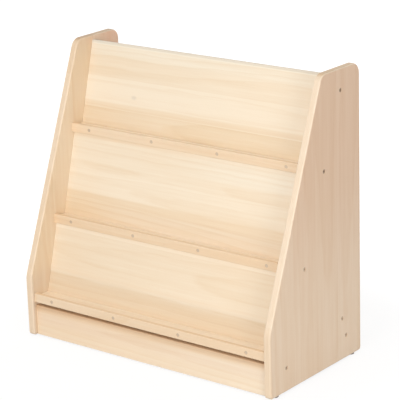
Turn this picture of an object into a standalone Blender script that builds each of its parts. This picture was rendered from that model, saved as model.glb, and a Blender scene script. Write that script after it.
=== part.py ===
# Double-sided display bookcase in solid pine, in metres, +Z up.
# The tiered front faces -Y. The origin lies on the floor under the middle of the case.

import bpy
import bmesh
from math import acos, atan, ceil, copysign, cos, pi, radians, sin, tan
from mathutils import Matrix, Vector

# Overall case
WIDTH = 0.800
DEPTH = 0.400
HEIGHT = 0.770

# Side panels: upright front edge up to the knee, slanted above it
SIDE_THICKNESS = 0.020
TOP_DEPTH = 0.166
KNEE_HEIGHT = 0.169
KNEE_RADIUS = 0.055
TOP_CORNER_RADIUS = 0.028
FOOT_CORNER_RADIUS = 0.008
PANEL_EDGE_ROUND = 0.004

# Undersides of the front ledges above the floor
UPPER_LEDGE_HEIGHT = 0.5255
MIDDLE_LEDGE_HEIGHT = 0.2945
LOWER_LEDGE_HEIGHT = 0.0965
LEDGE_THICKNESS = 0.016

# Lips, standing in front of the ledges
LIP_HEIGHT = 0.024
LIP_THICKNESS = 0.012
LIP_ROUND = 0.002
LIP_INSET = 0.0435
LOWER_LIP_SETBACK = 0.0095
LIP_OVERHANG = 0.009

# Display boards, leaning back so that each upper pocket has this depth at its ledge
DISPLAY_THICKNESS = 0.020
POCKET_DEPTH = 0.030
BOARD_TOP_DROP = 0.0105
BOARD_TOP_ROUND = 0.003
FOOT_DROP = 0.022

# Base board and kick board
BASE_THICKNESS = 0.020
BASE_DROP = 0.020
KICK_THICKNESS = 0.020
KICK_SETBACK = 0.013
KICK_SLOT = 0.009
KICK_ROUND = 0.002
KICK_TOP_ROUND = 0.003

# Back panel, its top planed to the slope of the upper display board
BACK_THICKNESS = 0.018
BACK_TOP_DROP = 0.0115
BACK_BEVEL_HEIGHT = 0.014

# Rear side
UPPER_REAR_LEDGE_HEIGHT = 0.520
LOWER_REAR_LEDGE_HEIGHT = 0.295
REAR_LIP_SETBACK = 0.008
RAIL_SETBACK = 0.030

# Glued joints: tongues along the leaning boards, and grooves that house a whole board
TONGUE_WIDTH = 0.004
TONGUE_DEPTH = 0.005
HOUSING_DEPTH = 0.006

# Connector screws through the side panels
CONNECTOR_LENGTH = 0.050
CONNECTOR_HEAD_RADIUS = 0.0055
CONNECTOR_HEAD_HEIGHT = 0.0040
CONNECTOR_SHANK_RADIUS = 0.0030
CONNECTOR_SOCKET_RADIUS = 0.0028
CONNECTOR_SOCKET_DEPTH = 0.0028
CONNECTOR_SINK = 0.0010
UPPER_FOOT_SCREW_RISE = 0.0225
MIDDLE_FOOT_SCREW_RISE = 0.0255
BACK_SCREW_FROM_TOP = 0.033
BACK_SCREW_FROM_FOOT = 0.040
BASE_SCREW_INSET = 0.068

# Countersunk screws through the lips
SCREW_HEAD_RADIUS = 0.0046
SCREW_HEAD_HEIGHT = 0.0028
SCREW_SHANK_RADIUS = 0.0019
SCREW_SOCKET_RADIUS = 0.0019
SCREW_SOCKET_DEPTH = 0.0014
SCREW_SINK = 0.0004
SCREW_TIP_COVER = 0.006
SCREW_END_MARGIN = 0.060
SCREWS_PER_LIP = 4
SCREW_POINT = 0.004

# Nailed glides under the side panels
GLIDE_HEIGHT = 0.004
GLIDE_RADIUS = 0.0085
GLIDE_CHAMFER = 0.0012
GLIDE_INSET = 0.032
NAIL_RADIUS = 0.0011
NAIL_LENGTH = 0.014
NAIL_POINT = 0.003

# Clearance between touching pieces, and overshoot of the cutters
SEAT = 0.0003
MOUTH = 0.002

# Facets of arcs and of turned pieces
ARC_STEP = radians(9)
ROUND_STEP = radians(45)
TURNED_SIDES = 12

# Planes and edges of the case, worked out from the sizes above
FRONT = -DEPTH / 2
REAR = DEPTH / 2
INNER_HALF = WIDTH / 2 - SIDE_THICKNESS
BOARD_HALF = INNER_HALF - SEAT
HOUSED_HALF = INNER_HALF + HOUSING_DEPTH - SEAT
SLANT = (DEPTH - TOP_DEPTH) / (HEIGHT - KNEE_HEIGHT)


def slanted_lip_front(ledge_height):
    edge = max(0.0, (ledge_height + LIP_HEIGHT - KNEE_HEIGHT) * SLANT)
    return FRONT + edge + LIP_INSET


UPPER_LIP_FRONT = slanted_lip_front(UPPER_LEDGE_HEIGHT)
MIDDLE_LIP_FRONT = slanted_lip_front(MIDDLE_LEDGE_HEIGHT)
LOWER_LIP_FRONT = FRONT + LOWER_LIP_SETBACK

# The middle board starts at its own pocket and ends under the upper lip, which sets the lean of all three
LEAN = ((UPPER_LIP_FRONT + LIP_OVERHANG - MIDDLE_LIP_FRONT - LIP_THICKNESS - POCKET_DEPTH)
        / (UPPER_LEDGE_HEIGHT - MIDDLE_LEDGE_HEIGHT - LEDGE_THICKNESS))
TILT = atan(LEAN)
DISPLAY_DEPTH = DISPLAY_THICKNESS / cos(TILT)
UP_BOARD = Vector((sin(TILT), cos(TILT)))
INTO_BOARD = Vector((cos(TILT), -sin(TILT)))


def upper_face(z):
    pocket_end = UPPER_LIP_FRONT + LIP_THICKNESS + POCKET_DEPTH
    return pocket_end + LEAN * (z - UPPER_LEDGE_HEIGHT - LEDGE_THICKNESS)


def middle_face(z):
    pocket_end = MIDDLE_LIP_FRONT + LIP_THICKNESS + POCKET_DEPTH
    return pocket_end + LEAN * (z - MIDDLE_LEDGE_HEIGHT - LEDGE_THICKNESS)


def lower_face(z):
    return MIDDLE_LIP_FRONT + LIP_OVERHANG + LEAN * (z - MIDDLE_LEDGE_HEIGHT)


BOARD_TOP = HEIGHT - BOARD_TOP_DROP
BASE_TOP = LOWER_LEDGE_HEIGHT - BASE_DROP
BASE_BOTTOM = BASE_TOP - BASE_THICKNESS
KICK_FRONT = FRONT + KICK_SETBACK
KICK_REAR = KICK_FRONT + KICK_THICKNESS
KICK_TOP = LOWER_LEDGE_HEIGHT - KICK_SLOT
BACK_TOP = BOARD_TOP - BACK_TOP_DROP
BACK_BEVEL_FOOT = BACK_TOP - BACK_BEVEL_HEIGHT
BACK_FRONT = upper_face(BACK_BEVEL_FOOT) + DISPLAY_DEPTH + SEAT
BACK_REAR = BACK_FRONT + BACK_THICKNESS
REAR_LIP_FRONT = REAR - REAR_LIP_SETBACK - LIP_THICKNESS
RAIL_REAR = REAR - RAIL_SETBACK
RAIL_FRONT = RAIL_REAR - KICK_THICKNESS
SCREW_END = INNER_HALF - SCREW_END_MARGIN

FRONT_TIERS = {
    "upper": (UPPER_LEDGE_HEIGHT, UPPER_LIP_FRONT, upper_face),
    "middle": (MIDDLE_LEDGE_HEIGHT, MIDDLE_LIP_FRONT, middle_face),
    "lower": (LOWER_LEDGE_HEIGHT, LOWER_LIP_FRONT, lower_face),
}
REAR_LEDGES = {"upper": UPPER_REAR_LEDGE_HEIGHT, "lower": LOWER_REAR_LEDGE_HEIGHT}
REAR_LIPS = {**REAR_LEDGES, "base": BASE_TOP - LEDGE_THICKNESS}

# Finishes: colour, roughness, metallic
PINE_SIDE = ((0.80, 0.60, 0.39), 0.45, 0.0)
PINE_FACE = ((0.88, 0.71, 0.48), 0.42, 0.0)
PINE_STRIP = ((0.86, 0.66, 0.43), 0.42, 0.0)
ZINC = ((0.58, 0.55, 0.50), 0.35, 1.0)
NICKEL = ((0.50, 0.45, 0.39), 0.38, 1.0)
DARK_PLASTIC = ((0.05, 0.05, 0.055), 0.55, 0.0)

for old in list(bpy.data.objects):
    bpy.data.objects.remove(old, do_unlink=True)

case = bpy.data.objects.new("bookcase", None)
bpy.context.scene.collection.objects.link(case)


# Modelling helpers

def new_mesh(name, bm):
    bmesh.ops.recalc_face_normals(bm, faces=bm.faces)
    mesh = bpy.data.meshes.new(name)
    bm.to_mesh(mesh)
    bm.free()
    return mesh


def add_object(name, mesh, placement):
    obj = bpy.data.objects.new(name, mesh)
    bpy.context.scene.collection.objects.link(obj)
    obj.parent = case
    obj.matrix_world = placement
    return obj


def paint(mesh, look):
    colour, roughness, metallic = look
    material = bpy.data.materials.new(mesh.name + "_finish")
    material.use_nodes = True
    shader = material.node_tree.nodes["Principled BSDF"]
    shader.inputs["Base Color"].default_value = (*colour, 1.0)
    shader.inputs["Roughness"].default_value = roughness
    shader.inputs["Metallic"].default_value = metallic
    mesh.materials.append(material)


def rounded_outline(corners, step):
    # Corners are (y, z, radius) in order; each radius becomes a tangent arc.
    points = []
    for index, (y, z, radius) in enumerate(corners):
        corner = Vector((y, z))
        if radius == 0:
            points.append(corner)
            continue
        back = (Vector(corners[index - 1][:2]) - corner).normalized()
        ahead = (Vector(corners[(index + 1) % len(corners)][:2]) - corner).normalized()
        inner_angle = acos(max(-1.0, min(1.0, back.dot(ahead))))
        turn = copysign(pi - inner_angle, back.y * ahead.x - back.x * ahead.y)
        centre = corner + (back + ahead).normalized() * (radius / sin(inner_angle / 2))
        arm = corner + back * (radius / tan(inner_angle / 2)) - centre
        count = max(1, ceil(abs(turn) / step))
        points += [centre + Matrix.Rotation(turn * k / count, 2) @ arm for k in range(count + 1)]
    return points


def prism(outline, x_from, x_to):
    bm = bmesh.new()
    face = bm.faces.new([bm.verts.new((x_from, y, z)) for y, z in outline])
    grown = bmesh.ops.extrude_face_region(bm, geom=[face])
    far_end = [v for v in grown["geom"] if isinstance(v, bmesh.types.BMVert)]
    bmesh.ops.translate(bm, vec=(x_to - x_from, 0, 0), verts=far_end)
    return bm


def long_board(name, corners, look, half=BOARD_HALF, step=ROUND_STEP):
    # A board along X, its origin at the first corner of its section.
    bm = prism(rounded_outline(corners, step), -half, half)
    origin = Vector((0, corners[0][0], corners[0][1]))
    bmesh.ops.translate(bm, vec=-origin, verts=bm.verts)
    mesh = new_mesh(name, bm)
    paint(mesh, look)
    add_object(name, mesh, Matrix.Translation(origin))


def rectangle(y_from, y_to, z_from, z_to, radius=0.0):
    return [(y_from, z_from, radius), (y_to, z_from, radius), (y_to, z_to, radius), (y_from, z_to, radius)]


def step_out(middle, along, out, width, depth):
    # Four corners of a tongue or groove on an edge that runs in the direction along.
    middle, along, out = Vector(middle), Vector(along), Vector(out)
    start, end = middle - along * width / 2, middle + along * width / 2
    return [(*p, 0) for p in (start, start + out * depth, end + out * depth, end)]


def tongue(middle, along, out):
    return step_out(middle, along, out, TONGUE_WIDTH, TONGUE_DEPTH)


def tongue_groove(middle, along, inward):
    return step_out(middle, along, inward, TONGUE_WIDTH + 2 * SEAT, TONGUE_DEPTH)


def housing(middle, along, inward, thickness):
    return step_out(middle, along, inward, thickness + 2 * SEAT, HOUSING_DEPTH)


def turned(bm, outline, placement):
    # Spins (radius, height) points round the local Z axis and puts the body in its place.
    old = set(bm.verts)
    verts = [bm.verts.new((radius, 0, height)) for radius, height in outline]
    edges = [bm.edges.new(pair) for pair in zip(verts, verts[1:])]
    bmesh.ops.spin(bm, geom=verts + edges, axis=(0, 0, 1), cent=(0, 0, 0),
                   angle=2 * pi, steps=TURNED_SIDES, use_merge=True)
    bmesh.ops.remove_doubles(bm, verts=[v for v in bm.verts if v not in old], dist=SEAT / 100)
    bmesh.ops.transform(bm, matrix=placement, verts=[v for v in bm.verts if v not in old])


def turned_mesh(name, outline, look):
    bm = bmesh.new()
    turned(bm, outline, Matrix.Identity(4))
    mesh = new_mesh(name, bm)
    mesh.shade_smooth()
    mesh.set_sharp_from_angle(angle=radians(30))
    paint(mesh, look)
    return mesh


def facing(point, outward):
    # Puts a turned piece at the point, its local +Z along the outward direction.
    turn = Vector(outward).to_track_quat("Z", "Y").to_matrix().to_4x4()
    return Matrix.Translation(point) @ turn


def screw_outline(head_radius, head_height, shank_radius, length, socket_radius, socket_depth, sink):
    return [(0, -sink - socket_depth), (socket_radius, -sink - socket_depth), (socket_radius, -sink),
            (head_radius, -sink), (shank_radius, -sink - head_height),
            (shank_radius, SCREW_POINT - sink - length), (0, -sink - length)]


def screw_hole(head_radius, head_height, shank_radius, length, sink):
    wide, narrow, end = head_radius + SEAT, shank_radius + SEAT, -sink - length - SEAT
    return [(0, MOUTH), (wide, MOUTH), (wide, -sink), (narrow, -sink - head_height), (narrow, end), (0, end)]


def cut(name, bm, pieces):
    cutter = add_object(name, new_mesh(name, bm), Matrix.Identity(4))
    cutter.hide_render = True
    cutter.display_type = "WIRE"
    for piece in pieces:
        modifier = bpy.data.objects[piece].modifiers.new(name, "BOOLEAN")
        modifier.operation = "DIFFERENCE"
        modifier.object = cutter


def bore(name, outline, placements, pieces):
    bm = bmesh.new()
    for placement in placements:
        turned(bm, outline, placement)
    cut(name, bm, pieces)


# Side panels
SIDES = {"left": -1, "right": 1}
PANELS = [f"{side}_side_panel" for side in SIDES]
panel_corners = [
    (FRONT, GLIDE_HEIGHT, FOOT_CORNER_RADIUS),
    (REAR, GLIDE_HEIGHT, FOOT_CORNER_RADIUS),
    (REAR, HEIGHT, TOP_CORNER_RADIUS),
    (REAR - TOP_DEPTH, HEIGHT, TOP_CORNER_RADIUS),
    (FRONT, KNEE_HEIGHT, KNEE_RADIUS),
]
for side, sign in SIDES.items():
    inner_face = Vector((sign * INNER_HALF, FRONT, GLIDE_HEIGHT))
    bm = prism(rounded_outline(panel_corners, ARC_STEP), sign * INNER_HALF, sign * WIDTH / 2)
    rims = [e for e in bm.edges if abs(e.verts[0].co.x - e.verts[1].co.x) < SEAT]
    bmesh.ops.bevel(bm, geom=rims, offset=PANEL_EDGE_ROUND, segments=2, profile=0.5, affect="EDGES")
    bmesh.ops.translate(bm, vec=-inner_face, verts=bm.verts)
    panel_mesh = new_mesh(f"{side}_side_panel", bm)
    paint(panel_mesh, PINE_SIDE)
    add_object(f"{side}_side_panel", panel_mesh, Matrix.Translation(inner_face))


# Display boards: ends square to the lean, or planed level where they meet a ledge or the base
def square_end(face, z):
    front = Vector((face(z), z))
    return front, front + INTO_BOARD * DISPLAY_THICKNESS


def level_end(face, z):
    return Vector((face(z), z)), Vector((face(z) + DISPLAY_DEPTH, z))


def ledge_joint(face, ledge_height):
    middle = ledge_height + LEDGE_THICKNESS / 2
    return face(middle), middle


def top_joint(face, ledge_height, lip_front):
    # Middle of the stretch where the ledge lies on the board's level top.
    return (lip_front + LIP_THICKNESS + face(ledge_height) + DISPLAY_DEPTH) / 2


upper_top_joint = top_joint(middle_face, UPPER_LEDGE_HEIGHT, UPPER_LIP_FRONT)
middle_top_joint = top_joint(lower_face, MIDDLE_LEDGE_HEIGHT, MIDDLE_LIP_FRONT)
foot_joint = lower_face(BASE_TOP) + DISPLAY_DEPTH / 2
UP, DOWN, FORWARD, BACKWARD = (0, 1), (0, -1), (-1, 0), (1, 0)


def display_board(name, foot, foot_step, top, top_step, top_round, face, ledge_height):
    (foot_front, foot_rear), (top_front, top_rear) = foot, top
    ledge_groove = tongue_groove(ledge_joint(face, ledge_height), -UP_BOARD, INTO_BOARD)
    corners = [(*foot_front, 0), *foot_step, (*foot_rear, 0), (*top_rear, top_round), *top_step,
               (*top_front, top_round), *ledge_groove]
    long_board(name, corners, PINE_FACE)


display_board("upper_display_board",
              square_end(upper_face, UPPER_LEDGE_HEIGHT - FOOT_DROP), [],
              square_end(upper_face, BOARD_TOP), [], BOARD_TOP_ROUND, upper_face, UPPER_LEDGE_HEIGHT)
display_board("middle_display_board",
              square_end(middle_face, MIDDLE_LEDGE_HEIGHT - FOOT_DROP), [],
              level_end(middle_face, UPPER_LEDGE_HEIGHT - SEAT),
              tongue((upper_top_joint, UPPER_LEDGE_HEIGHT - SEAT), FORWARD, UP),
              0, middle_face, MIDDLE_LEDGE_HEIGHT)
display_board("lower_display_board",
              level_end(lower_face, BASE_TOP + SEAT),
              tongue((foot_joint, BASE_TOP + SEAT), BACKWARD, DOWN),
              level_end(lower_face, MIDDLE_LEDGE_HEIGHT - SEAT),
              tongue((middle_top_joint, MIDDLE_LEDGE_HEIGHT - SEAT), FORWARD, UP),
              0, lower_face, LOWER_LEDGE_HEIGHT)

# Front ledges, tongued into the boards behind them and lying on the boards below, with their lips
under_ledge = {
    "upper": tongue_groove((upper_top_joint, UPPER_LEDGE_HEIGHT), BACKWARD, UP),
    "middle": tongue_groove((middle_top_joint, MIDDLE_LEDGE_HEIGHT), BACKWARD, UP),
    "lower": [],
}
for tier, (height, lip_front, face) in FRONT_TIERS.items():
    ledge_front, ledge_top = lip_front + LIP_THICKNESS + SEAT, height + LEDGE_THICKNESS
    joint_y, joint_z = ledge_joint(face, height)
    ledge_corners = [(ledge_front, height, 0), *under_ledge[tier], (face(height) - SEAT, height, 0),
                     *tongue((joint_y - SEAT, joint_z), UP_BOARD, INTO_BOARD),
                     (face(ledge_top) - SEAT, ledge_top, 0), (ledge_front, ledge_top, 0)]
    long_board(f"{tier}_front_ledge", ledge_corners, PINE_STRIP)
    lip = rectangle(lip_front, lip_front + LIP_THICKNESS, height, height + LIP_HEIGHT, LIP_ROUND)
    long_board(f"{tier}_front_lip", lip, PINE_STRIP)

# Kick board and rail, housed in the side panels; the kick's rear face houses the base board's edge
base_middle = (BASE_BOTTOM + BASE_TOP) / 2
kick_corners = rectangle(KICK_FRONT, KICK_REAR, GLIDE_HEIGHT, KICK_TOP, KICK_ROUND)
kick_corners[3] = (KICK_FRONT, KICK_TOP, KICK_TOP_ROUND)
kick_corners[2:2] = housing((KICK_REAR, base_middle), UP, FORWARD, BASE_THICKNESS)
long_board("front_kick_board", kick_corners, PINE_FACE, HOUSED_HALF, 2 * ARC_STEP)
rail_top = BASE_BOTTOM + HOUSING_DEPTH - SEAT
rail_corners = rectangle(RAIL_FRONT, RAIL_REAR, GLIDE_HEIGHT, rail_top)
long_board("rear_rail", rail_corners, PINE_FACE, HOUSED_HALF)

# Base board: rail below, back panel and lower display board above
back_middle = (BACK_FRONT + BACK_REAR) / 2
base_corners = rectangle(KICK_REAR - HOUSING_DEPTH + SEAT, REAR_LIP_FRONT - SEAT, BASE_BOTTOM, BASE_TOP)
base_corners[3:3] = (housing((back_middle, BASE_TOP), FORWARD, DOWN, BACK_THICKNESS)
                     + tongue_groove((foot_joint, BASE_TOP), FORWARD, DOWN))
base_corners[1:1] = housing(((RAIL_FRONT + RAIL_REAR) / 2, BASE_BOTTOM), BACKWARD, UP, KICK_THICKNESS)
long_board("base_board", base_corners, PINE_FACE)

# Back panel, with the rear ledges housed in its rear face
back_foot = BASE_TOP - HOUSING_DEPTH + SEAT
back_corners = [(BACK_FRONT, back_foot, 0), (BACK_REAR, back_foot, 0)]
for height in sorted(REAR_LEDGES.values()):
    back_corners += housing((BACK_REAR, height + LEDGE_THICKNESS / 2), UP, FORWARD, LEDGE_THICKNESS)
back_corners += [(BACK_REAR, BACK_TOP, 0), (BACK_FRONT + LEAN * BACK_BEVEL_HEIGHT, BACK_TOP, 0),
                 (BACK_FRONT, BACK_BEVEL_FOOT, 0)]
long_board("back_panel", back_corners, PINE_FACE)

# Rear ledges and lips
for tier, height in REAR_LEDGES.items():
    ledge_front = BACK_REAR - HOUSING_DEPTH + SEAT
    ledge = rectangle(ledge_front, REAR_LIP_FRONT - SEAT, height, height + LEDGE_THICKNESS)
    long_board(f"{tier}_rear_ledge", ledge, PINE_STRIP)
for tier, height in REAR_LIPS.items():
    lip = rectangle(REAR_LIP_FRONT, REAR_LIP_FRONT + LIP_THICKNESS, height, height + LIP_HEIGHT, LIP_ROUND)
    long_board(f"{tier}_rear_lip", lip, PINE_STRIP)

# Housings in the side panels for the ends of the kick and the rail, open to the floor
housing_half = INNER_HALF + HOUSING_DEPTH
for name, y_from, y_to, z_to, top_round in (("kick_housings", KICK_FRONT, KICK_REAR, KICK_TOP, KICK_TOP_ROUND),
                                            ("rail_housings", RAIL_FRONT, RAIL_REAR, rail_top, 0)):
    section = rectangle(y_from - SEAT, y_to + SEAT, GLIDE_HEIGHT - MOUTH, z_to + SEAT)
    section[3] = (y_from - SEAT, z_to + SEAT, top_round)
    cut(name, prism(rounded_outline(section, 2 * ARC_STEP), -housing_half, housing_half), PANELS)


# Connector screws through the side panels into the ends of the boards
def board_middle(face, z):
    return face(z) + DISPLAY_DEPTH / 2, z


connector_places = {
    "back_top": (back_middle, BACK_TOP - BACK_SCREW_FROM_TOP),
    "upper_board": board_middle(upper_face, UPPER_LEDGE_HEIGHT - FOOT_DROP + UPPER_FOOT_SCREW_RISE),
    "middle_board": board_middle(middle_face, MIDDLE_LEDGE_HEIGHT - FOOT_DROP + MIDDLE_FOOT_SCREW_RISE),
    "back_foot": (back_middle, BASE_TOP + BACK_SCREW_FROM_FOOT),
    "base_rear": (REAR - BASE_SCREW_INSET, base_middle),
    "base_front": (FRONT + BASE_SCREW_INSET, base_middle),
}
connector_body = (CONNECTOR_HEAD_RADIUS, CONNECTOR_HEAD_HEIGHT, CONNECTOR_SHANK_RADIUS, CONNECTOR_LENGTH)
connector_outline = screw_outline(*connector_body, CONNECTOR_SOCKET_RADIUS, CONNECTOR_SOCKET_DEPTH,
                                  CONNECTOR_SINK)
connector_mesh = turned_mesh("connector_screw", connector_outline, NICKEL)
connector_seats = []
for side, sign in SIDES.items():
    for place, (y, z) in connector_places.items():
        seat = facing((sign * WIDTH / 2, y, z), (sign, 0, 0))
        add_object(f"{side}_{place}_connector", connector_mesh, seat)
        connector_seats.append(seat)
bore("connector_holes", screw_hole(*connector_body, CONNECTOR_SINK), connector_seats,
     PANELS + ["upper_display_board", "middle_display_board", "back_panel", "base_board"])

# Screws through the lips, halfway up, into the ledges and into the rear edge of the base board
screw_body = (SCREW_HEAD_RADIUS, SCREW_HEAD_HEIGHT, SCREW_SHANK_RADIUS,
              LIP_THICKNESS + POCKET_DEPTH - SCREW_TIP_COVER)
lip_screw_outline = screw_outline(*screw_body, SCREW_SOCKET_RADIUS, SCREW_SOCKET_DEPTH, SCREW_SINK)
screw_mesh = turned_mesh("lip_screw", lip_screw_outline, ZINC)
lips = [(f"{tier}_front_lip", height, lip_front, -1)
        for tier, (height, lip_front, _) in FRONT_TIERS.items()]
lips += [(f"{tier}_rear_lip", height, REAR_LIP_FRONT + LIP_THICKNESS, 1)
         for tier, height in REAR_LIPS.items()]
screw_seats = []
for lip_name, height, face_y, sign in lips:
    for k in range(SCREWS_PER_LIP):
        x = SCREW_END * (2 * k / (SCREWS_PER_LIP - 1) - 1)
        seat = facing((x, face_y, height + LIP_HEIGHT / 2), (0, sign, 0))
        add_object(f"{lip_name}_screw_{k + 1}", screw_mesh, seat)
        screw_seats.append(seat)
bore("lip_screw_holes", screw_hole(*screw_body, SCREW_SINK), screw_seats,
     [lip[0] for lip in lips] + [f"{tier}_front_ledge" for tier in FRONT_TIERS]
     + [f"{tier}_rear_ledge" for tier in REAR_LEDGES] + ["base_board"])

# Glides: a plastic foot moulded on a nail, at both ends of each side panel
nail_top = GLIDE_HEIGHT + NAIL_LENGTH
glide_top = GLIDE_HEIGHT - SEAT
glide_outline = [(0, nail_top), (NAIL_RADIUS, nail_top - NAIL_POINT), (NAIL_RADIUS, glide_top),
                 (GLIDE_RADIUS, glide_top), (GLIDE_RADIUS, GLIDE_CHAMFER),
                 (GLIDE_RADIUS - GLIDE_CHAMFER, 0), (0, 0)]
glide_mesh = turned_mesh("glide", glide_outline, DARK_PLASTIC)
nail_hole = [(0, nail_top + SEAT), (NAIL_RADIUS + SEAT, nail_top + SEAT),
             (NAIL_RADIUS + SEAT, GLIDE_HEIGHT - MOUTH), (0, GLIDE_HEIGHT - MOUTH)]
glide_seats = []
for side, sign in SIDES.items():
    for end, y in (("front", FRONT + GLIDE_INSET), ("rear", REAR - GLIDE_INSET)):
        seat = Matrix.Translation((sign * (WIDTH / 2 - SIDE_THICKNESS / 2), y, 0))
        add_object(f"{side}_{end}_glide", glide_mesh, seat)
        glide_seats.append(seat)
bore("nail_holes", nail_hole, glide_seats, PANELS)
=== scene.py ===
from math import asin, atan2, cos, pi, radians, sin, tan

import bmesh
import bpy
from mathutils import Matrix, Vector


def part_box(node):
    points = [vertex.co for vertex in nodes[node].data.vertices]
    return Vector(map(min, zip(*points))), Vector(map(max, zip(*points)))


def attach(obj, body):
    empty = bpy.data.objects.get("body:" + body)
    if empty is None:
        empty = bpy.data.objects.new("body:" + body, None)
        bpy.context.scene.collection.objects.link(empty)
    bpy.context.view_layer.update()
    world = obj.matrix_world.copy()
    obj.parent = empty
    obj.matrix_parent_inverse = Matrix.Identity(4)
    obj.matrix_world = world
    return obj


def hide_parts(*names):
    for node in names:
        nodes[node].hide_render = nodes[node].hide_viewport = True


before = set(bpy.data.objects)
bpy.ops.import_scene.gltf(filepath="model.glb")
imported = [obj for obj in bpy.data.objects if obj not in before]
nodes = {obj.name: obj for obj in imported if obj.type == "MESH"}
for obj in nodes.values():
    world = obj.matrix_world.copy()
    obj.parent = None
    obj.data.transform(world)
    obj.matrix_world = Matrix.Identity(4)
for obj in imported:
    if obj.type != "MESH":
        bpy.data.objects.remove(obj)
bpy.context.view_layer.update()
scene = bpy.context.scene
scene.view_settings.view_transform = "Standard"
seat = 0.0003  # gap that glued or resting pieces keep
sameLine = 1e-6  # how near two points of one line or level are
sameCorner = 1e-4  # how near a corner's own points are to it
looksForward, looksDown = -0.8, -0.9  # limits for a face's normal
smoothBelow = radians(40)  # sharper edges stay hard


# Edit-mode helpers

def deselectAll():
    if bpy.context.object and bpy.context.object.mode != "OBJECT":
        bpy.ops.object.mode_set(mode="OBJECT")
    bpy.ops.object.select_all(action="DESELECT")


def activate(piece):
    deselectAll()
    piece.select_set(True)
    bpy.context.view_layer.objects.active = piece


def settle(piece):
    activate(piece)
    bpy.ops.object.transform_apply(location=True, rotation=True, scale=True)


def addBlock(name, low, high):
    deselectAll()
    low, high = Vector(low), Vector(high)
    bpy.ops.mesh.primitive_cube_add(size=1, location=(low + high) / 2)
    piece = bpy.context.object
    piece.name = piece.data.name = name
    piece.scale = high - low
    settle(piece)
    return piece


def startEdit(piece, kind):
    # opens the mesh with nothing selected
    activate(piece)
    bpy.ops.object.mode_set(mode="EDIT")
    bpy.ops.mesh.select_mode(type=kind)
    bpy.ops.mesh.select_all(action="DESELECT")
    return bmesh.from_edit_mesh(piece.data)


def selectEdges(piece, test):
    for edge in startEdit(piece, "EDGE").edges:
        edge.select_set(test(edge.verts[0].co, edge.verts[1].co))
    bmesh.update_edit_mesh(piece.data)


def selectUnderside(piece):
    for face in startEdit(piece, "FACE").faces:
        face.select_set(face.normal.z < looksDown)
    bmesh.update_edit_mesh(piece.data)


def markArris(piece):
    # the bevel leaves its new faces selected; the finish reads this mark as a sanded arris
    bm = bmesh.from_edit_mesh(piece.data)
    layer = bm.faces.layers.float.get("arris") or bm.faces.layers.float.new("arris")
    for face in bm.faces:
        if face.select:
            face[layer] = 1.0
    bmesh.update_edit_mesh(piece.data)


def roundEdges(piece, test, offset, segments, arris=True):
    selectEdges(piece, test)
    bpy.ops.mesh.bevel(offset=offset, offset_type="OFFSET", segments=segments, profile=0.5,
                       affect="EDGES", clamp_overlap=False)
    if arris:
        markArris(piece)
    bpy.ops.object.mode_set(mode="OBJECT")


def sliceOff(piece, point, outward):
    activate(piece)
    bpy.ops.object.mode_set(mode="EDIT")
    bpy.ops.mesh.select_all(action="SELECT")
    bpy.ops.mesh.bisect(plane_co=point, plane_no=outward, use_fill=True, clear_outer=True)
    bpy.ops.object.mode_set(mode="OBJECT")


def carve(piece, cutter):
    activate(piece)
    bpy.ops.object.modifier_add(type="BOOLEAN")
    modifier = piece.modifiers[-1]
    modifier.operation = "DIFFERENCE"
    modifier.solver = "EXACT"
    modifier.object = cutter
    bpy.ops.object.modifier_apply(modifier=modifier.name)
    bpy.data.objects.remove(cutter)


def smoothSurface(piece):
    activate(piece)
    bpy.ops.object.shade_smooth_by_angle(angle=smoothBelow)
    bpy.ops.object.modifier_add(type="WEIGHTED_NORMAL")
    modifier = piece.modifiers[-1]
    modifier.keep_sharp = True
    bpy.ops.object.modifier_apply(modifier=modifier.name)


def joinAll(pieces):
    deselectAll()
    for piece in pieces:
        piece.select_set(True)
    bpy.context.view_layer.objects.active = pieces[0]
    bpy.ops.object.join()
    return bpy.context.object


# Tests that pick edges by their two ends

def alongX(a, b):
    return abs(a.y - b.y) < sameLine and abs(a.z - b.z) < sameLine


def acrossX(a, b):
    return abs(a.x - b.x) < sameLine


def near(y, z):
    return lambda a, b: all(abs(p.y - y) < sameCorner and abs(p.z - z) < sameCorner for p in (a, b))


# Camera, at the photograph's angle
cameraSetup = {
    "target": (0.04152, 0.0, 0.40277), "azimuth": 38.289, "elevation": 17.494, "roll": -1.819,
    "distance": 4.8291, "lens": 169.405, "sensor": 36.0,
}


def addCamera(setup):
    azimuth, elevation, roll = (radians(setup[k]) for k in ("azimuth", "elevation", "roll"))
    back = Vector((sin(azimuth) * cos(elevation), -cos(azimuth) * cos(elevation), sin(elevation)))
    right = (-back).cross(Vector((0, 0, 1))).normalized()
    up = right.cross(-back)
    rolledRight = right * cos(roll) + up * sin(roll)
    rolledUp = up * cos(roll) - right * sin(roll)
    place = Matrix((rolledRight, rolledUp, back)).transposed().to_4x4()
    place.translation = Vector(setup["target"]) + back * setup["distance"]
    deselectAll()
    bpy.ops.object.camera_add()
    camera = bpy.context.object
    camera.matrix_world = place
    camera.data.lens = setup["lens"]
    camera.data.sensor_width = setup["sensor"]
    scene.camera = camera


addCamera(cameraSetup)
print("camera placed")


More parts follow.
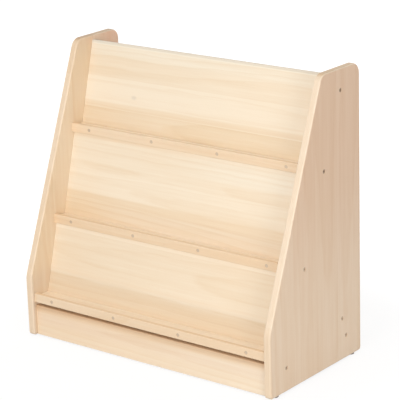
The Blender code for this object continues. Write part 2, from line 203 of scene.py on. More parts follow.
class Graph:
    # short forms for building one tree of shader nodes
    def __init__(self, tree):
        self.tree = tree

    def add(self, kind, **settings):
        made = self.tree.nodes.new(kind)
        for key, value in settings.items():
            setattr(made, key, value)
        return made

    def feed(self, socket, value):
        if isinstance(value, bpy.types.NodeSocket):
            self.tree.links.new(value, socket)
        else:
            socket.default_value = value

    def make(self, kind, *values, output=0, **settings):
        # one node with its inputs filled in their order
        made = self.add(kind, **settings)
        for socket, value in zip(made.inputs, values):
            self.feed(socket, value)
        return made.outputs[output]

    def fill(self, kind, named, output=0, **settings):
        # one node with its inputs filled by name
        made = self.add(kind, **settings)
        for name, value in named.items():
            self.feed(made.inputs[name], value)
        return made.outputs[output]

    def math(self, operation, *values):
        return self.make("ShaderNodeMath", *values, operation=operation)

    def vector(self, x, y, z):
        return self.make("ShaderNodeCombineXYZ", x, y, z)

    def split(self, vector):
        made = self.add("ShaderNodeSeparateXYZ")
        self.feed(made.inputs[0], vector)
        return made.outputs

    def scaled(self, vector, scale):
        return self.make("ShaderNodeVectorMath", vector, scale, operation="MULTIPLY")

    def length(self, vector):
        return self.make("ShaderNodeVectorMath", vector, operation="LENGTH", output="Value")

    def noise(self, vector, scale, detail=2.0, roughness=0.5):
        return self.fill("ShaderNodeTexNoise", {"Vector": self.scaled(vector, scale), "Scale": 1.0,
                                                "Detail": detail, "Roughness": roughness}, output="Fac")

    def centred(self, value):
        return self.math("SUBTRACT", value, 0.5)

    def span(self, value, low, high, newLow=0.0, newHigh=1.0, smooth=True):
        return self.fill("ShaderNodeMapRange", {"Value": value, "From Min": low, "From Max": high,
                                                "To Min": newLow, "To Max": newHigh}, output="Result",
                         interpolation_type="SMOOTHSTEP" if smooth else "LINEAR")

    def ramp(self, value, stops):
        made = self.add("ShaderNodeValToRGB")
        self.feed(made.inputs[0], value)
        elements = made.color_ramp.elements
        while len(elements) < len(stops):
            elements.new(0.5)
        for element, (position, colour) in zip(elements, stops):
            element.position = position
            element.color = (*colour, 1.0)
        return made.outputs["Color"]

    def shade(self, colour, mask, tint):
        # multiplies the colour by the tint where the mask is 1
        parts = [self.math("MULTIPLY_ADD", mask, part - 1.0, 1.0) for part in tint]
        return self.scaled(colour, self.vector(*parts))

    def total(self, *terms):
        # sum of (amount, value) pairs
        result = 0.0
        for amount, value in terms:
            result = self.math("MULTIPLY_ADD", value, amount, result)
        return result

    def relief(self, strength, distance, height):
        return self.fill("ShaderNodeBump", {"Strength": strength, "Distance": distance, "Height": height},
                         output="Normal")

    def shownRay(self):
        # 1 for what the camera, a mirror or a glass sees directly
        path = self.add("ShaderNodeLightPath").outputs
        shown = path["Is Camera Ray"]
        for ray in ("Is Glossy Ray", "Is Transmission Ray"):
            shown = self.math("MAXIMUM", shown, path[ray])
        return shown


def newMaterial(name):
    material = bpy.data.materials.new(name)
    material.use_nodes = True
    return material, Graph(material.node_tree)


# Studio: soft lamps, a pale floor and a white surround
studio = {
    "key": {"place": (0.7, -4.1, 2.1), "size": 2.6, "power": 83.5, "colour": (1.0, 0.985, 0.96)},
    "fill": {"place": (2.75, -1.6, 0.55), "size": 1.3, "power": 22.5, "colour": (1.0, 0.94, 0.88)},
    "top": {"place": (0.0, -0.35, 3.6), "size": 2.8, "power": 11.0, "colour": (1.0, 0.99, 0.97)},
    "rear": {"place": (-0.5, 4.2, 0.8), "size": 2.6, "power": 58.0, "colour": (1.0, 0.985, 0.96)},
    "left": {"place": (-3.2, 0.5, 0.7), "size": 2.0, "power": 22.0, "colour": (1.0, 0.94, 0.88)},
}
lampAim = Vector((0, 0, 0.35))
surroundLight = 0.50
floorSetup = {"size": 60.0, "albedo": 0.62, "shown": 0.18, "glow": (0.85, 1.0), "glowSpan": (0.5, 0.95)}


def addLamp(name, lamp):
    deselectAll()
    bpy.ops.object.light_add(type="AREA", location=lamp["place"])
    light = bpy.context.object
    light.name = name
    light.data.shape = "DISK"
    light.data.size = lamp["size"]
    light.data.energy = lamp["power"]
    light.data.color = lamp["colour"]
    light.rotation_euler = (lampAim - light.location).to_track_quat("-Z", "Y").to_euler()


def dressSurround(strength):
    world = bpy.data.worlds.new("surround")
    scene.world = world
    world.use_nodes = True
    g = Graph(world.node_tree)
    ambient = g.tree.nodes["Background"]
    shown = g.add("ShaderNodeBackground")
    for background, level in ((ambient, strength), (shown, 1.0)):
        background.inputs["Color"].default_value = (1.0, 1.0, 1.0, 1.0)
        background.inputs["Strength"].default_value = level
    mix = g.make("ShaderNodeMixShader", g.shownRay(), ambient.outputs[0], shown.outputs[0])
    g.feed(g.tree.nodes["World Output"].inputs["Surface"], mix)


def addFloor(setup):
    deselectAll()
    bpy.ops.mesh.primitive_plane_add(size=setup["size"])
    floor = bpy.context.object
    floor.name = "studioFloor"
    material, g = newMaterial("studioFloor")
    g.tree.nodes.remove(g.tree.nodes["Principled BSDF"])
    paint, shown = (g.make("ShaderNodeBsdfDiffuse", (grey, grey, grey, 1.0))
                    for grey in (setup["albedo"], setup["shown"]))
    # the glow that makes the floor white gives way to the shadow near the case
    away = g.length(g.add("ShaderNodeTexCoord").outputs["Object"])
    glow = g.fill("ShaderNodeEmission", {"Strength": g.span(away, *setup["glowSpan"], *setup["glow"])})
    mix = g.make("ShaderNodeMixShader", g.shownRay(), paint, g.make("ShaderNodeAddShader", shown, glow))
    g.feed(g.tree.nodes["Material Output"].inputs["Surface"], mix)
    floor.data.materials.append(material)


for lampName, lamp in studio.items():
    addLamp(lampName, lamp)
dressSurround(surroundLight)
addFloor(floorSetup)
print("studio lit")

# Pine: every stave is cut from its own log, so rings, arches and end grain follow from one solid pattern
pine = {
    # colours along the tone, and the tint of a knot
    "pale": (0.912, 0.785, 0.615), "honey": (0.800, 0.610, 0.400), "deep": (0.560, 0.355, 0.190),
    "honeyAt": 0.42, "knot": (0.88, 0.88, 0.89), "knotStretch": 0.6, "knotCore": 0.2,
    # what each pattern adds to the tone
    "ringAmount": 0.11, "streakAmount": 0.34, "fibreAmount": 0.16, "broadAmount": 0.20, "staveAmount": 0.17,
    "fleckAmount": 0.25, "endAmount": 0.43, "arrisAmount": 0.10,
    # noises: scale along and across the fibres, detail, roughness
    "wander": ((1.6, 7.0, 7.0), 3.0), "ripple": ((9.0, 30.0, 30.0), 2.0), "broad": ((1.1, 7.0, 7.0), 2.0),
    "streak": ((2.6, 75.0, 75.0), 4.0, 0.6), "fibre": ((16.0, 950.0, 950.0), 3.0, 0.6),
    "fleck": ((90.0, 1500.0, 1500.0), 1.0), "fleckSpan": (0.70, 0.80), "worn": ((14.0, 60.0, 60.0), 3.0),
    # the log: how far apart staves are cut, where the pith lies and how it wanders, in metres
    "logStep": 7.0, "pithAside": 0.09, "pithDepth": 0.018, "pithSpread": 0.075, "pithSlope": 0.024,
    "asideWander": 0.014, "belowWander": 0.009, "belowRipple": 0.0016, "ringWidth": 0.0048,
    "ringStops": ((0.0, 0.05), (0.45, 0.18), (0.80, 0.75), (0.90, 1.0), (1.0, 0.05)),
    # how squarely a face has to look along the grain, or sideways, and how far the painted shade on the side
    # panels wanders
    "endFacing": (0.75, 0.97), "broadFacing": (0.80, 0.97), "ageWander": 0.25,
    # shine and relief, and what the patterns give to them
    "roughness": (0.40, 0.56), "dullSpan": (0.2, 0.9), "coat": 0.08, "coatRoughness": 0.28,
    "dullFibre": 0.6, "dullStreak": 0.25, "dullWorn": 0.2, "dullEnd": 0.3,
    "relief": (0.30, 0.0002), "fibreRelief": 0.7, "ringRelief": -0.35, "fleckRelief": -0.5,
}


def shadePanel(g, colour, age, rise, across, facing, wander):
    # painted shade on a side panel: the broad faces are tinted redder and darker towards the top, and the
    # sanded edges are tinted darker
    broadFace = g.span(g.math("ABSOLUTE", facing[2]), *pine["broadFacing"])
    edge = g.math("SUBTRACT", 1.0, broadFace)
    height = g.total((1.0, rise), (pine["ageWander"], wander), (age["lean"], across))
    height = g.span(height, *age["topSpan"])
    inner = age.get("inner")
    shadedFaces = g.span(facing[2], *(-limit for limit in pine["broadFacing"])) if inner else broadFace
    upper = g.math("MULTIPLY", shadedFaces, height)
    tints = [(upper, age["top"]), (g.math("SUBTRACT", broadFace, upper), age["foot"]), (edge, age["edge"])]
    if inner:
        # here the painted shade lies on the inner face: its rim and foot are painted darker, and the outer
        # face is tinted warmer
        tints += [(g.math("MULTIPLY", edge, height), inner["rim"]),
                  (g.math("MULTIPLY", shadedFaces, g.span(rise, *inner["lowSpan"])), inner["low"]),
                  (g.math("SUBTRACT", broadFace, shadedFaces), inner["outer"])]
    for mask, tint in tints:
        colour = g.shade(colour, mask, tint)
    return colour


def pineFinish(name, grain):
    # turn puts the fibres along local X and the stave width along local Y; shift picks the place in the log
    material, g = newMaterial(name)
    shader = g.tree.nodes["Principled BSDF"].inputs
    shift = grain["shift"]
    coordinates = g.add("ShaderNodeTexCoord").outputs
    local = g.fill("ShaderNodeMapping", {"Vector": coordinates["Object"], "Rotation": grain["turn"],
                                         "Location": (shift, 0.0, 0.0)}, vector_type="POINT")
    u, v, w = g.split(local)

    # staves, each with three random numbers of its own
    stave = g.math("FLOOR", g.math("DIVIDE", v, grain["stave"]))
    random = g.make("ShaderNodeTexWhiteNoise", g.vector(stave, grain["seed"], 0.0), output="Color",
                    noise_dimensions="2D")
    first, second, third = g.split(random)
    staveMiddle = g.math("MULTIPLY", g.math("ADD", stave, 0.5), grain["stave"])
    acrossStave = g.math("SUBTRACT", v, staveMiddle)

    # growth rings round a pith that wanders below the stave
    ownPlace = g.vector(g.math("ADD", u, g.math("MULTIPLY", third, pine["logStep"])), v, w)
    wander = g.centred(g.noise(ownPlace, *pine["wander"]))
    ripple = g.centred(g.noise(ownPlace, *pine["ripple"]))
    pithAside = g.math("MULTIPLY", g.centred(first), pine["pithAside"])
    pithBelow = g.math("MULTIPLY_ADD", second, pine["pithSpread"], pine["pithDepth"])
    slope = g.math("MULTIPLY", g.math("MULTIPLY", g.centred(third), pine["pithSlope"]), u)
    aside = g.total((1.0, acrossStave), (-1.0, pithAside), (pine["asideWander"], wander))
    below = g.total((1.0, w), (1.0, pithBelow), (1.0, slope), (pine["belowWander"], wander),
                    (pine["belowRipple"], ripple))
    ringPlace = g.math("DIVIDE", g.length(g.vector(aside, below, 0.0)), pine["ringWidth"])
    ring = g.ramp(g.math("FRACT", ringPlace), [(at, (level,) * 3) for at, level in pine["ringStops"]])

    # streaks and fibres along the grain, and short resin flecks
    streak, fibre, broad, fleck = (g.noise(ownPlace, *pine[pattern])
                                   for pattern in ("streak", "fibre", "broad", "fleck"))
    fleck = g.span(fleck, *pine["fleckSpan"])

    # end grain and sanded arrises
    normal = g.fill("ShaderNodeMapping", {"Vector": coordinates["Normal"], "Rotation": grain["turn"]},
                    vector_type="NORMAL")
    facing = g.split(normal)
    endGrain = g.span(g.math("ABSOLUTE", facing[0]), *pine["endFacing"])
    arris = g.add("ShaderNodeAttribute", attribute_name="arris").outputs["Fac"]
    worn = g.math("MULTIPLY", arris, g.noise(local, *pine["worn"]))

    tone = g.total((pine["ringAmount"], ring), (pine["streakAmount"], g.centred(streak)),
                   (pine["fibreAmount"], g.centred(fibre)), (pine["broadAmount"], g.centred(broad)),
                   (pine["staveAmount"], g.centred(second)), (pine["fleckAmount"], fleck),
                   (pine["endAmount"], endGrain), (-pine["arrisAmount"], worn), (1.0, grain["tone"]))
    for start, end, amount in grain.get("bands", ()):
        # a darker tone from one height to another: painted shade under the kick's slot, and a darker foot on
        # each display board
        tone = g.math("MULTIPLY_ADD", g.span(v, start, end), amount, tone)
    colour = g.ramp(tone, [(0.0, pine["pale"]), (pine["honeyAt"], pine["honey"]), (1.0, pine["deep"])])
    for x, height, size in grain.get("knots", ()):
        lengthwise = g.math("MULTIPLY", g.math("SUBTRACT", u, shift + x), pine["knotStretch"])
        away = g.length(g.vector(lengthwise, g.math("SUBTRACT", v, height), 0.0))
        knot = g.span(g.math("MULTIPLY_ADD", ripple, size, away), size, size * pine["knotCore"])
        colour = g.shade(colour, knot, pine["knot"])
    for tint, heights, reach in grain.get("zones", ()):
        # a tint between two heights, along a reach of the board, or both; the tints at the boards' left ends
        # and rounded tops are painted light and painted shade
        masks = [g.span(v, *heights)] if heights else []
        masks += [g.span(u, *(shift + x for x in reach))] if reach else []
        mask = masks[0] if len(masks) == 1 else g.math("MULTIPLY", *masks)
        colour = g.shade(colour, mask, tint)
    if "tint" in grain:
        colour = g.scaled(colour, grain["tint"])
    # painted shade on the side panels
    if "age" in grain:
        rise = g.math("SUBTRACT", u, shift)
        colour = shadePanel(g, colour, grain["age"], rise, v, facing, wander)
    g.feed(shader["Base Color"], colour)
    dull = g.total((pine["dullFibre"], fibre), (pine["dullStreak"], streak), (pine["dullWorn"], worn),
                   (pine["dullEnd"], endGrain))
    g.feed(shader["Roughness"], g.span(dull, *pine["dullSpan"], *pine["roughness"], smooth=False))
    shader["Coat Weight"].default_value = pine["coat"]
    shader["Coat Roughness"].default_value = pine["coatRoughness"]
    height = g.total((pine["fibreRelief"], fibre), (pine["ringRelief"], ring), (pine["fleckRelief"], fleck))
    g.feed(shader["Normal"], g.relief(*pine["relief"], height))
    return material


def dress(piece, material, node):
    piece.data.materials.clear()
    piece.data.materials.append(material)
    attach(piece, "root")
    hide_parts(node)


def turned(name, outline, sides):
    # outline runs down the axis as (radius, height); its first two points make the starting cylinder
    (radius, top), (_, height) = outline[:2]
    deselectAll()
    bpy.ops.mesh.primitive_cylinder_add(vertices=sides, radius=radius, depth=top - height,
                                        end_fill_type="NGON", location=(0, 0, (top + height) / 2))
    piece = bpy.context.object
    piece.name = piece.data.name = name
    settle(piece)
    selectUnderside(piece)
    for nextRadius, nextHeight in outline[2:]:
        bpy.ops.mesh.extrude_region_move(TRANSFORM_OT_translate={"value": (0, 0, nextHeight - height)})
        ratio = nextRadius / radius
        bpy.ops.transform.resize(value=(ratio, ratio, 1), center_override=(0, 0, nextHeight))
        radius, height = nextRadius, nextHeight
    bpy.ops.object.mode_set(mode="OBJECT")
    return piece


def copyOf(piece, name, turn, place):
    activate(piece)
    bpy.ops.object.duplicate(linked=False)
    double = bpy.context.object
    double.name = double.data.name = name
    double.rotation_euler = turn
    double.location = place
    settle(double)
    return double


# Screws: where each one sits, which way its head looks, and the hole it needs
connector = {
    "outline": [(0.0055, 0.0), (0.0055, -0.0006), (0.0030, -0.0040), (0.0030, -0.0470), (0.0016, -0.0500)],
    "hole": [(0.0057, 0.0030), (0.0057, -0.0008), (0.0032, -0.0047), (0.0032, -0.0512)],
    "sides": 32, "socketSides": 6, "socketRadius": 0.0028, "socketDepth": 0.0028, "rim": (0.00035, 2),
    # the upper connectors' steel is darker as painted shade, and the lower ones' paler as painted light
    "colour": (0.50, 0.37, 0.27), "litColour": (0.70, 0.56, 0.43), "roughness": 0.50,
    "spin": 37, "slot": "connector_steel",  # spin: degrees from one screw to the next
}
lipScrew = {
    "outline": [(0.0046, 0.0), (0.0046, -0.0004), (0.0019, -0.0028), (0.0019, -0.0320), (0.0003, -0.0360)],
    "hole": [(0.0048, 0.0030), (0.0048, -0.0004), (0.0021, -0.0032), (0.0021, -0.0370)],
    "sides": 28, "armLength": 0.0024, "armWidth": 0.00070, "recessDepth": 0.0014, "recessTaper": 0.45,
    "rim": (0.00025, 2), "colour": (0.74, 0.60, 0.46), "roughness": 0.54, "spin": 53, "slot": "zinc_screw",
}
headTurns = {"left": (0, radians(-90), 0), "right": (0, radians(90), 0),
             "front": (radians(90), 0, 0), "rear": (radians(-90), 0, 0)}


def headPlace(node, looks):
    # middle of the outer end of a screw's box
    low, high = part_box(node)
    place = (low + high) / 2
    if looks in ("left", "right"):
        place.x = low.x if looks == "left" else high.x
    else:
        place.y = low.y if looks == "front" else high.y
    return place


screwSeats = {}
for node in nodes:
    if "connector" in node:
        looks = "left" if node.startswith("left") else "right"
    elif "screw" in node:
        looks = "front" if "front" in node else "rear"
    else:
        continue
    screwSeats[node] = (looks, headPlace(node, looks))


def drill(piece, chosen):
    # one cutter for all the screws that pass through this piece
    cutters = []
    for node in chosen:
        looks, place = screwSeats[node]
        kind = connector if "connector" in node else lipScrew
        bit = turned("bit", kind["hole"], kind["sides"])
        bit.rotation_euler = headTurns[looks]
        bit.location = place
        settle(bit)
        cutters.append(bit)
    if cutters:
        carve(piece, joinAll(cutters) if len(cutters) > 1 else cutters[0])


# Side panels; each round is a radius and its segments
panel = {
    "kneeHeight": 0.169, "topDepth": 0.166, "stave": 0.096,
    "footRound": (0.008, 5), "topRound": (0.028, 10), "kneeRound": (0.055, 8), "rim": (0.004, 6),
    "nailHole": [(0.0013, 0.0172), (0.0013, 0.0020)], "nailSides": 12,
    "left": {
        "shift": 0.31, "seed": 3.0, "tone": 0.24,
        # painted shade: the inner face redder towards the top, and the edges, top rim and low inner face
        # darker
        "age": {"foot": (0.97, 0.965, 0.965), "top": (1.01, 0.80, 0.75), "edge": (0.99, 0.96, 0.96),
                "topSpan": (0.75, 0.95), "lean": 1.0,
                "inner": {"rim": (0.90, 0.90, 0.91), "low": (0.935, 0.935, 0.97), "lowSpan": (0.20, 0.15),
                          "outer": (1.0, 0.93, 0.91)}},
    },
    "right": {
        "shift": 1.70, "seed": 8.0, "tone": 0.15,
        # painted shade: redder and darker towards the top, and darker at the edges
        "age": {"foot": (1.0, 0.93, 0.90), "top": (0.93, 0.79, 0.73), "edge": (0.97, 0.945, 0.945),
                "topSpan": (0.12, 0.62), "lean": 0.0},
    },
}
turnSide = (0.0, radians(90), 0.0)
turnUpright = (radians(-90), 0.0, 0.0)
turnFlat = (0.0, 0.0, 0.0)


def makePanel(side):
    node = side + "_side_panel"
    low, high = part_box(node)
    piece = addBlock("fine_" + node, low, high)
    topFront = high.y - panel["topDepth"]
    slope = Vector((0, topFront - low.y, high.z - panel["kneeHeight"])).normalized()
    sliceOff(piece, (0, low.y, panel["kneeHeight"]), (0, -slope.z, slope.y))
    flare = atan2(slope.y, slope.z)
    # place, round, and how far from the corner the arc starts for each unit of its radius
    corners = [((low.y, low.z), "footRound", 1.0), ((high.y, low.z), "footRound", 1.0),
               ((high.y, high.z), "topRound", 1.0),
               ((topFront, high.z), "topRound", 1.0 / tan((pi / 2 + flare) / 2)),
               ((low.y, panel["kneeHeight"]), "kneeRound", tan(flare / 2))]
    for (y, z), kind, share in corners:
        radius, segments = panel[kind]
        roundEdges(piece, near(y, z), radius * share, segments, arris=False)
    roundEdges(piece, acrossX, *panel["rim"])
    drill(piece, [s for s in screwSeats if s.startswith(side) and "connector" in s])
    for end in ("front", "rear"):
        glideLow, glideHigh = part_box(f"{side}_{end}_glide")
        bit = turned("bit", panel["nailHole"], panel["nailSides"])
        bit.location = ((glideLow.x + glideHigh.x) / 2, (glideLow.y + glideHigh.y) / 2, 0)
        settle(bit)
        carve(piece, bit)
    smoothSurface(piece)
    grain = {"turn": turnSide, "stave": panel["stave"], **panel[side]}
    dress(piece, pineFinish("pine_" + node, grain), node)


for side in ("left", "right"):
    makePanel(side)
print("side panels made")

# Display boards, leaning on the ledges: foot is added to the tone below footHeight, the brow is painted
# shade on a rounded top, and a zone is a tint, its heights over footHeight along the lean, and its reach
# along X
board = {
    "thickness": 0.020, "stave": 0.083, "topRound": (0.003, 5), "topReach": 0.012, "arris": (0.0008, 2),
    "overlong": 0.03,  # what is added to an end before it is planed level
    # the left end zone is painted light: each board's left end, beside the left panel, is tinted cooler
    "shadedBrowReach": 0.0095, "footFade": 0.004, "leftEnd": ((0.98, 1.013, 1.055), None, (-0.29, -0.37)),
    "upper": {
        "shift": 0.13, "seed": 11.0, "tone": 0.04, "footHeight": 0.605, "foot": 0.22,
        # the brow is painted shade on the rounded top edge
        "shadedBrow": (0.86, 0.86, 0.865), "knots": [(-0.214, 0.626, 0.0080)],  # x, height and size
        "zones": [((1.025, 1.08, 1.15), (-0.008, -0.028), (-0.75, 0.3)),
                  ((1.005, 1.045, 1.09), (0.105, 0.135), None)],
    },
    "middle": {
        "shift": 2.41, "seed": 19.0, "tone": 0.08, "footHeight": 0.375, "foot": 0.22, "knots": [],
        "zones": [((1.02, 1.07, 1.165), (-0.012, -0.034), (-0.35, 0.0)),
                  ((1.01, 1.055, 1.11), (0.080, 0.110), (-0.12, 0.2))],
    },
    "lower": {
        "shift": 4.05, "seed": 24.0, "tone": 0.06, "footHeight": 0.165, "foot": 0.26, "knots": [],
        "zones": [((0.965, 0.99, 1.035), (0.012, -0.004), None)],
    },
}


def frontPlane(node):
    # middle and normal of the largest face that looks forward
    faces = (f for f in nodes[node].data.polygons if f.normal.y < looksForward)
    best = max(faces, key=lambda f: f.area)
    return Vector(best.center), Vector(best.normal).normalized()


def makeDisplayBoard(tier, foot, top):
    # foot and top: height of a level cut, or None for an end square to the lean
    node = tier + "_display_board"
    low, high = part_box(node)
    middle, normal = frontPlane(node)
    tilt = asin(normal.z)
    upward = Vector((0, sin(tilt), cos(tilt)))
    start = middle + upward * ((low.z + board["thickness"] * sin(tilt) - middle.z) / cos(tilt))
    end = middle + upward * ((high.z - middle.z) / cos(tilt))
    if foot is not None:
        start = start - upward * board["overlong"]
    if top is not None:
        end = end + upward * board["overlong"]
    length = (end - start).length
    piece = addBlock("fine_" + node, (low.x, 0, 0), (high.x, board["thickness"], length))
    piece.rotation_euler = (-tilt, 0, 0)
    piece.location = (0, start.y, start.z)
    settle(piece)
    if foot is not None:
        sliceOff(piece, (0, 0, foot), (0, 0, -1))
    if top is not None:
        sliceOff(piece, (0, 0, top), (0, 0, 1))
    highest = max(v.co.z for v in piece.data.vertices)
    if top is None:
        topStart = highest - board["topReach"]
        roundEdges(piece, lambda a, b: alongX(a, b) and min(a.z, b.z) > topStart, *board["topRound"])

    def sanded(a, b):
        # a rounded top is left as it is
        return alongX(a, b) and (top is not None or max(a.z, b.z) < middle.z)

    roundEdges(piece, sanded, *board["arris"])
    drill(piece, [s for s in screwSeats if s.endswith(tier + "_board_connector")])
    smoothSurface(piece)

    def upFace(z):
        # way along the lean to a height on the front face
        return Vector((0, middle.y + (z - middle.z) * tan(tilt), z)).dot(upward)

    look = board[tier]
    footEdge = upFace(look["footHeight"])
    zones = [(tint, heights and [footEdge + h for h in heights], reach)
             for tint, heights, reach in (*look["zones"], board["leftEnd"])]
    if top is None:
        # painted shade along the rounded top edge
        shadedBrow = upFace(highest)
        zones.append((look["shadedBrow"], (shadedBrow - board["shadedBrowReach"], shadedBrow - board["shadedBrowReach"] / 2), None))
    grain = {"turn": (tilt - pi / 2, 0.0, 0.0), "shift": look["shift"], "stave": board["stave"],
             "seed": look["seed"], "tone": look["tone"], "zones": zones,
             "knots": [(x, upFace(z), size) for x, z, size in look["knots"]],
             "bands": [(footEdge + board["footFade"], footEdge - board["footFade"], look["foot"])]}
    dress(piece, pineFinish("pine_" + node, grain), node)


def underside(node):
    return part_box(node)[0].z


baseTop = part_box("base_board")[1].z
makeDisplayBoard("upper", None, None)
makeDisplayBoard("middle", None, underside("upper_front_ledge") - seat)
makeDisplayBoard("lower", baseTop + seat, underside("middle_front_ledge") - seat)
print("display boards made")

# Lips and ledges; a log step times the seed gives each strip its place in the log
strip = {
    "stave": 0.060, "lipRound": (0.002, 5), "arris": (0.0008, 2), "lipLogStep": 0.71, "ledgeLogStep": 0.53,
    # the ledges' tint and tone make them paler: painted light in the shaded pocket behind the lips
    "lipTint": (1.0, 0.945, 0.90), "ledgeLitTint": (1.07, 1.05, 1.04), "ledgeLitTone": -0.02, "rearLipTone": 0.17,
    "frontLipTones": {"upper": 0.15, "middle": 0.15, "lower": 0.20},
    "frontLipSeed": 31.0, "frontLedgeSeed": 41.0, "rearLipSeed": 51.0, "rearLedgeSeed": 61.0,
}


def finishStrip(piece, node, lip, grain):
    drill(piece, [s for s in screwSeats if s.startswith(lip + "_screw")])
    smoothSurface(piece)
    grain["stave"] = strip["stave"]
    dress(piece, pineFinish("pine_" + node, grain), node)


def makeLip(node, seed, tone):
    piece = addBlock("fine_" + node, *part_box(node))
    roundEdges(piece, alongX, *strip["lipRound"])
    finishStrip(piece, node, node, {"turn": turnUpright, "shift": seed * strip["lipLogStep"], "seed": seed,
                                    "tone": tone, "tint": strip["lipTint"]})


def makeLedge(node, lip, behind, seed):
    low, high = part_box(node)
    if behind.endswith("display_board"):
        middle, normal = frontPlane(behind)
        piece = addBlock("fine_" + node, low, high)
        sliceOff(piece, middle + normal * seat, -normal)
    else:
        low.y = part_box(behind)[1].y + seat
        piece = addBlock("fine_" + node, low, high)
    roundEdges(piece, alongX, *strip["arris"])
    # the ledge is made paler as painted light
    finishStrip(piece, node, lip, {"turn": turnFlat, "shift": seed * strip["ledgeLogStep"], "seed": seed,
                                   "tone": strip["ledgeLitTone"], "tint": strip["ledgeLitTint"]})


for index, (tier, tone) in enumerate(strip["frontLipTones"].items()):
    lip = tier + "_front_lip"
    makeLip(lip, strip["frontLipSeed"] + index, tone)
    makeLedge(tier + "_front_ledge", lip, tier + "_display_board", strip["frontLedgeSeed"] + index)
for index, tier in enumerate(("upper", "lower", "base")):
    lip = tier + "_rear_lip"
    makeLip(lip, strip["rearLipSeed"] + index, strip["rearLipTone"])
    if tier != "base":  # the third rear lip is on the base board
        makeLedge(tier + "_rear_ledge", lip, "back_panel", strip["rearLedgeSeed"] + index)
print("lips and ledges made")

# Kick, base, rail and back panel
carcass = {"stave": 0.090, "arris": (0.0010, 4), "logStep": 0.37}
kick = {
    "seed": 71.0, "tone": 0.085, "topRound": (0.003, 10), "round": (0.002, 4),
    # painted shade in and under the slot below the lower lip
    "slotShade": 0.54, "slotShadeReach": 0.021,  # what the tone gains up to the top edge
    "leftEnd": (1.025, 0.96, 0.93), "rightEnd": (1.03, 1.02, 1.055),
    "foot": (1.04, 1.065, 1.065), "footSpan": (0.058, 0.028),
}
base = {"seed": 74.0, "tone": 0.12}
rail = {"seed": 77.0, "tone": 0.12}
back = {"seed": 79.0, "tone": 0.08}
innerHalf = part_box("right_side_panel")[0].x - seat


def makeBoard(node, low, high, turn, look, screws=(), slope=None, **grain):
    low.x, high.x = -innerHalf, innerHalf
    piece = addBlock("fine_" + node, low, high)
    topRound = look.get("topRound")
    if slope:
        sliceOff(piece, *slope)
    if topRound:
        roundEdges(piece, near(low.y, high.z), *topRound, arris=False)

    def unrounded(a, b):
        onArc = topRound and a.y < high.y - sameCorner and a.z > low.z + sameCorner
        return alongX(a, b) and not onArc

    roundEdges(piece, unrounded, *look.get("round", carcass["arris"]))
    drill(piece, [s for s in screwSeats if any(key in s for key in screws)])
    smoothSurface(piece)
    grain.update(turn=turn, shift=look["seed"] * carcass["logStep"], stave=carcass["stave"],
                 seed=look["seed"], tone=look["tone"])
    dress(piece, pineFinish("pine_" + node, grain), node)


kickLow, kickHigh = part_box("front_kick_board")
kickTop, kickRear = kickHigh.z, kickHigh.y
# the kick's band is painted shade under the lower lip
makeBoard("front_kick_board", kickLow, kickHigh, turnUpright, kick,
          bands=[(kickTop - kick["slotShadeReach"], kickTop, kick["slotShade"])],
          zones=[(kick["foot"], kick["footSpan"], None), (kick["rightEnd"], None, (-innerHalf, innerHalf)),
                 (kick["leftEnd"], None, (innerHalf, -innerHalf))])
baseLow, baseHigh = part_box("base_board")
baseLow.y = kickRear + seat
makeBoard("base_board", baseLow, baseHigh, turnFlat, base,
          ("base_rear_connector", "base_front_connector", "base_rear_lip_screw"))
railLow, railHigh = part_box("rear_rail")
railHigh.z = baseLow.z - seat
makeBoard("rear_rail", railLow, railHigh, turnUpright, rail)
backLow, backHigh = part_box("back_panel")
backLow.z = baseTop + seat
upperMiddle, upperNormal = frontPlane("upper_display_board")
makeBoard("back_panel", backLow, backHigh, turnUpright, back, ("back_top", "back_foot"),
          (upperMiddle - upperNormal * (board["thickness"] + seat), upperNormal))
print("carcass made")

# Screws: one pattern of each kind, copied and spun
metal = {
    "cloud": ((900.0, 900.0, 900.0), 3.0), "grit": ((2600.0, 2600.0, 2600.0), 2.0),
    "dull": 0.72, "dullAt": 0.30, "cleanAt": 0.62,
    "cloudSpan": (0.3, 0.7), "smoother": 0.06, "rougher": 0.12, "relief": (0.15, 0.00005),
}
rimShare = 0.97  # points farther out than this share of the head are its rim


def metalFinish(name, colour, roughness):
    material, g = newMaterial(name)
    shader = g.tree.nodes["Principled BSDF"].inputs
    coordinates = g.add("ShaderNodeTexCoord").outputs["Object"]
    cloud = g.noise(coordinates, *metal["cloud"])
    dull = [c * metal["dull"] for c in colour]
    g.feed(shader["Base Color"], g.ramp(cloud, [(metal["dullAt"], dull), (metal["cleanAt"], colour)]))
    g.feed(shader["Roughness"], g.span(cloud, *metal["cloudSpan"], roughness - metal["smoother"],
                                       roughness + metal["rougher"]))
    shader["Metallic"].default_value = 1.0
    g.feed(shader["Normal"], g.relief(*metal["relief"], g.noise(coordinates, *metal["grit"])))
    return material


def screwPattern(name, kind):
    pattern = turned(name, kind["outline"], kind["sides"])
    rimStart = kind["outline"][0][0] * rimShare

    def onRim(p):
        return abs(p.z) < sameLine and Vector((p.x, p.y)).length > rimStart

    roundEdges(pattern, lambda a, b: onRim(a) and onRim(b), *kind["rim"], arris=False)
    return pattern


def placeScrews(pattern, kind, metals):
    # metals: a finish for each node of this kind
    smoothSurface(pattern)
    for index, (node, (looks, place)) in enumerate(screwSeats.items()):
        if node in metals:
            spun = copyOf(pattern, "spun", (0, 0, radians(kind["spin"] * index)), (0, 0, 0))
            dress(copyOf(spun, "fine_" + node, headTurns[looks], place), metals[node], node)
            bpy.data.objects.remove(spun)
    bpy.data.objects.remove(pattern)


connectorPattern = screwPattern("connectorPattern", connector)
deselectAll()
bpy.ops.mesh.primitive_cylinder_add(vertices=connector["socketSides"], radius=connector["socketRadius"],
                                    depth=2 * connector["socketDepth"])
carve(connectorPattern, bpy.context.object)
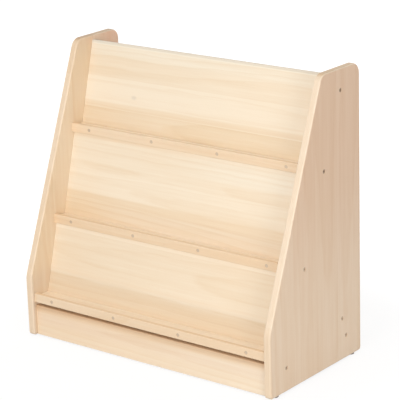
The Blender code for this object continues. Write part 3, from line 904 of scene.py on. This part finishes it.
# one steel in two copies: darker for the upper connectors as painted shade, paler for the lower ones as
# painted light
shadedMetal = metalFinish("connectorMetal", connector["colour"], connector["roughness"])
litMetal = metalFinish("litConnectorMetal", connector["litColour"], connector["roughness"])
placeScrews(connectorPattern, connector, {s: shadedMetal if "back_top" in s or "upper" in s else litMetal
                                          for s in screwSeats if "connector" in s})

lipScrewPattern = screwPattern("lipScrewPattern", lipScrew)
armReach, armHalf = lipScrew["armLength"], lipScrew["armWidth"] / 2
aboveHead = 0.001  # what the cutters stand out of the head
for reachX, reachY in ((armReach, armHalf), (armHalf, armReach)):
    arm = addBlock("arm", (-reachX, -reachY, -lipScrew["recessDepth"]), (reachX, reachY, aboveHead))
    selectUnderside(arm)
    bpy.ops.transform.resize(value=(lipScrew["recessTaper"], lipScrew["recessTaper"], 1),
                             center_override=(0, 0, -lipScrew["recessDepth"]))
    bpy.ops.object.mode_set(mode="OBJECT")
    carve(lipScrewPattern, arm)
zinc = metalFinish("zinc", lipScrew["colour"], lipScrew["roughness"])
placeScrews(lipScrewPattern, lipScrew, {s: zinc for s in screwSeats if "connector" not in s})
print("screws made")

# Glides, moulded on their nails
glide = {
    "outline": [(0.0011, 0.0165), (0.0011, 0.0037), (0.0085, 0.0037), (0.0085, 0.0012), (0.0073, 0.0)],
    "sides": 36, "rim": (0.0005, 2), "rimFrom": 0.007, "colour": (0.36, 0.31, 0.28), "scuffed": 1.9,
    "grit": ((1400.0, 1400.0, 1400.0), 2.0), "relief": (0.2, 0.0001),
    "scuff": ((260.0, 260.0, 60.0), 4.0, 0.65), "scuffSpan": (0.55, 0.75),
    "roughness": (0.46, 0.68), "dullSpan": (0.2, 0.8), "dullGrit": 0.6, "dullScuff": 0.4,
}


def plasticFinish(name, look):
    material, g = newMaterial(name)
    shader = g.tree.nodes["Principled BSDF"].inputs
    coordinates = g.add("ShaderNodeTexCoord").outputs["Object"]
    grit = g.noise(coordinates, *look["grit"])
    scuff = g.span(g.noise(coordinates, *look["scuff"]), *look["scuffSpan"])
    pale = [c * look["scuffed"] for c in look["colour"]]
    g.feed(shader["Base Color"], g.ramp(scuff, [(0.0, look["colour"]), (1.0, pale)]))
    dull = g.total((look["dullGrit"], grit), (look["dullScuff"], scuff))
    g.feed(shader["Roughness"], g.span(dull, *look["dullSpan"], *look["roughness"]))
    g.feed(shader["Normal"], g.relief(*look["relief"], grit))
    return material


def glideRim(a, b):
    outer = all(Vector((p.x, p.y)).length > glide["rimFrom"] for p in (a, b))
    return outer and abs(a.z - b.z) < sameLine


glidePlastic = plasticFinish("glidePlastic", glide)
for side in ("left", "right"):
    for end in ("front", "rear"):
        node = f"{side}_{end}_glide"
        low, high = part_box(node)
        piece = turned("fine_" + node, glide["outline"], glide["sides"])
        roundEdges(piece, glideRim, *glide["rim"], arris=False)
        piece.location = ((low.x + high.x) / 2, (low.y + high.y) / 2, 0)
        settle(piece)
        smoothSurface(piece)
        dress(piece, glidePlastic, node)
print("glides made")
